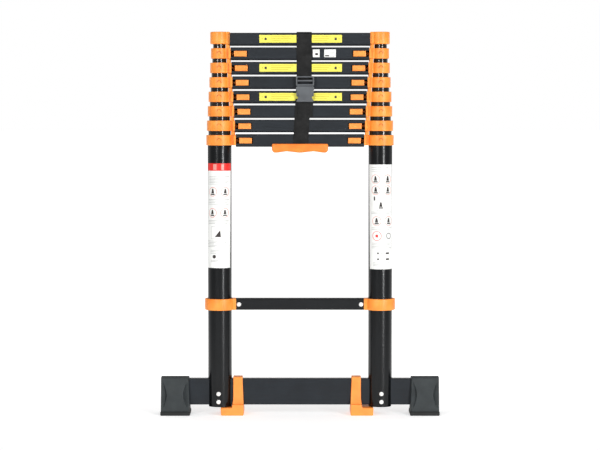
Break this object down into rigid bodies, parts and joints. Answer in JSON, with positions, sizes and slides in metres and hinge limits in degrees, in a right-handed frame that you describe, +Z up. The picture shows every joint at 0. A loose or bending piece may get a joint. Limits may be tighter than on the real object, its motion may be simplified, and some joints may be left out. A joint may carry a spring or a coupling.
{
  "type": "telescoping ladder",
  "caption": "Telescoping ladder, closed: nested stile tubes, stacked rungs with thumb releases, floor bar with rubber feet, carry grip and strap.",
  "frame": {"origin": "on the floor, midway between the stiles and at the middle of the floor bar's depth", "axes": "+Z up along the stiles, +X along the rungs to the right seen from the front, the front faces -Y"},
  "size_m": [0.64, 0.07, 0.8766],
  "materials": {
    "bar": "satin blue-grey anodised",
    "buckle_plastic": "moulded acetal",
    "inner_tube": "satin black anodised",
    "orange_button": "moulded orange",
    "orange_lock": "moulded orange",
    "orange_moulding": "moulded orange, fine texture",
    "outer_tube": "satin black anodised",
    "plug": "moulded black",
    "rivet": "white",
    "rubber_foot": "moulded rubber",
    "rung": "satin blue-grey anodised",
    "screw": "zinc plated",
    "spring_steel": "bright wire",
    "webbing": "woven polyester webbing"
  },
  "bodies": {
    "base": {"bar_foot_left": "rubber_foot", "bar_foot_right": "rubber_foot", "bar_rivets": "rivet", "base_bar": "bar", "carry_grip": "orange_moulding", "collars_1": "orange_moulding", "grip_screws": "screw", "lock_springs_1": "spring_steel", "mid_collars": "orange_moulding", "mid_rung": "rung", "mid_rung_rivets": "rivet", "rung_1": "rung", "stile_plugs": "plug", "stiles_1": "outer_tube", "strap": "webbing"},
    "section_2": {"stiles_2": "inner_tube", "rung_2": "rung", "collars_2": "orange_moulding", "lock_springs_2": "spring_steel"},
    "section_3": {"stiles_3": "inner_tube", "rung_3": "rung", "collars_3": "orange_moulding", "lock_springs_3": "spring_steel"},
    "section_4": {"stiles_4": "inner_tube", "rung_4": "rung", "collars_4": "orange_moulding", "lock_springs_4": "spring_steel"},
    "section_5": {"stiles_5": "inner_tube", "rung_5": "rung", "collars_5": "orange_moulding", "lock_springs_5": "spring_steel", "buckle_housing": "buckle_plastic"},
    "section_6": {"stiles_6": "inner_tube", "rung_6": "rung", "collars_6": "orange_moulding", "lock_springs_6": "spring_steel"},
    "section_7": {"stiles_7": "inner_tube", "rung_7": "rung", "collars_7": "orange_moulding", "lock_springs_7": "spring_steel"},
    "section_8": {"stiles_8": "inner_tube", "rung_8": "rung", "top_caps": "orange_moulding"},
    "release_1_left": {"release_1_left": "orange_button"},
    "release_1_right": {"release_1_right": "orange_button"},
    "release_2_left": {"release_2_left": "orange_button"},
    "release_2_right": {"release_2_right": "orange_button"},
    "release_3_left": {"release_3_left": "orange_button"},
    "release_3_right": {"release_3_right": "orange_button"},
    "release_4_left": {"release_4_left": "orange_button"},
    "release_4_right": {"release_4_right": "orange_button"},
    "release_5_left": {"release_5_left": "orange_button"},
    "release_5_right": {"release_5_right": "orange_button"},
    "release_6_left": {"release_6_left": "orange_button"},
    "release_6_right": {"release_6_right": "orange_button"},
    "release_7_left": {"release_7_left": "orange_button"},
    "release_7_right": {"release_7_right": "orange_button"},
    "bar_lock_left": {"bar_lock_left": "orange_lock"},
    "bar_lock_right": {"bar_lock_right": "orange_lock"},
    "buckle_tongue": {"buckle_tongue": "buckle_plastic"}
  },
  "joints": [
    {"name": "section_2_slide", "type": "slide", "parent": "base", "child": "section_2", "axis": [0, 0, 1], "range_m": [0, 0.3401]},
    {"name": "section_3_slide", "type": "slide", "parent": "section_2", "child": "section_3", "axis": [0, 0, 1], "range_m": [0, 0.3401]},
    {"name": "section_4_slide", "type": "slide", "parent": "section_3", "child": "section_4", "axis": [0, 0, 1], "range_m": [0, 0.3401]},
    {"name": "section_5_slide", "type": "slide", "parent": "section_4", "child": "section_5", "axis": [0, 0, 1], "range_m": [0, 0.3401]},
    {"name": "section_6_slide", "type": "slide", "parent": "section_5", "child": "section_6", "axis": [0, 0, 1], "range_m": [0, 0.3401]},
    {"name": "section_7_slide", "type": "slide", "parent": "section_6", "child": "section_7", "axis": [0, 0, 1], "range_m": [0, 0.3401]},
    {"name": "section_8_slide", "type": "slide", "parent": "section_7", "child": "section_8", "axis": [0, 0, 1], "range_m": [0, 0.3401], "deforming": ["strap"]},
    {"name": "release_1_left_slide", "type": "slide", "parent": "base", "child": "release_1_left", "axis": [1, 0, 0], "range_m": [-0.0019, 0.0015], "stiffness_N_per_m": 600, "deforming": ["lock_springs_1"]},
    {"name": "release_1_right_slide", "type": "slide", "parent": "base", "child": "release_1_right", "axis": [-1, 0, 0], "range_m": [-0.0019, 0.0015], "stiffness_N_per_m": 600},
    {"name": "release_2_left_slide", "type": "slide", "parent": "section_2", "child": "release_2_left", "axis": [1, 0, 0], "range_m": [-0.0019, 0.0015], "stiffness_N_per_m": 600, "deforming": ["lock_springs_2"]},
    {"name": "release_2_right_slide", "type": "slide", "parent": "section_2", "child": "release_2_right", "axis": [-1, 0, 0], "range_m": [-0.0019, 0.0015], "stiffness_N_per_m": 600},
    {"name": "release_3_left_slide", "type": "slide", "parent": "section_3", "child": "release_3_left", "axis": [1, 0, 0], "range_m": [-0.0019, 0.0015], "stiffness_N_per_m": 600, "deforming": ["lock_springs_3"]},
    {"name": "release_3_right_slide", "type": "slide", "parent": "section_3", "child": "release_3_right", "axis": [-1, 0, 0], "range_m": [-0.0019, 0.0015], "stiffness_N_per_m": 600},
    {"name": "release_4_left_slide", "type": "slide", "parent": "section_4", "child": "release_4_left", "axis": [1, 0, 0], "range_m": [-0.0019, 0.0015], "stiffness_N_per_m": 600, "deforming": ["lock_springs_4"]},
    {"name": "release_4_right_slide", "type": "slide", "parent": "section_4", "child": "release_4_right", "axis": [-1, 0, 0], "range_m": [-0.0019, 0.0015], "stiffness_N_per_m": 600},
    {"name": "release_5_left_slide", "type": "slide", "parent": "section_5", "child": "release_5_left", "axis": [1, 0, 0], "range_m": [-0.0019, 0.0015], "stiffness_N_per_m": 600, "deforming": ["lock_springs_5"]},
    {"name": "release_5_right_slide", "type": "slide", "parent": "section_5", "child": "release_5_right", "axis": [-1, 0, 0], "range_m": [-0.0019, 0.0015], "stiffness_N_per_m": 600},
    {"name": "release_6_left_slide", "type": "slide", "parent": "section_6", "child": "release_6_left", "axis": [1, 0, 0], "range_m": [-0.0019, 0.0015], "stiffness_N_per_m": 600, "deforming": ["lock_springs_6"]},
    {"name": "release_6_right_slide", "type": "slide", "parent": "section_6", "child": "release_6_right", "axis": [-1, 0, 0], "range_m": [-0.0019, 0.0015], "stiffness_N_per_m": 600},
    {"name": "release_7_left_slide", "type": "slide", "parent": "section_7", "child": "release_7_left", "axis": [1, 0, 0], "range_m": [-0.0019, 0.0015], "stiffness_N_per_m": 600, "deforming": ["lock_springs_7"]},
    {"name": "release_7_right_slide", "type": "slide", "parent": "section_7", "child": "release_7_right", "axis": [-1, 0, 0], "range_m": [-0.0019, 0.0015], "stiffness_N_per_m": 600},
    {"name": "bar_lock_left_slide", "type": "slide", "parent": "base", "child": "bar_lock_left", "axis": [1, 0, 0], "range_m": [0, 0.03]},
    {"name": "bar_lock_right_slide", "type": "slide", "parent": "base", "child": "bar_lock_right", "axis": [-1, 0, 0], "range_m": [-0.0135, 0.0165]},
    {"name": "buckle_tongue_slide", "type": "slide", "parent": "section_5", "child": "buckle_tongue", "axis": [0, 0, 1], "range_m": [0, 0.025]}
  ]
}
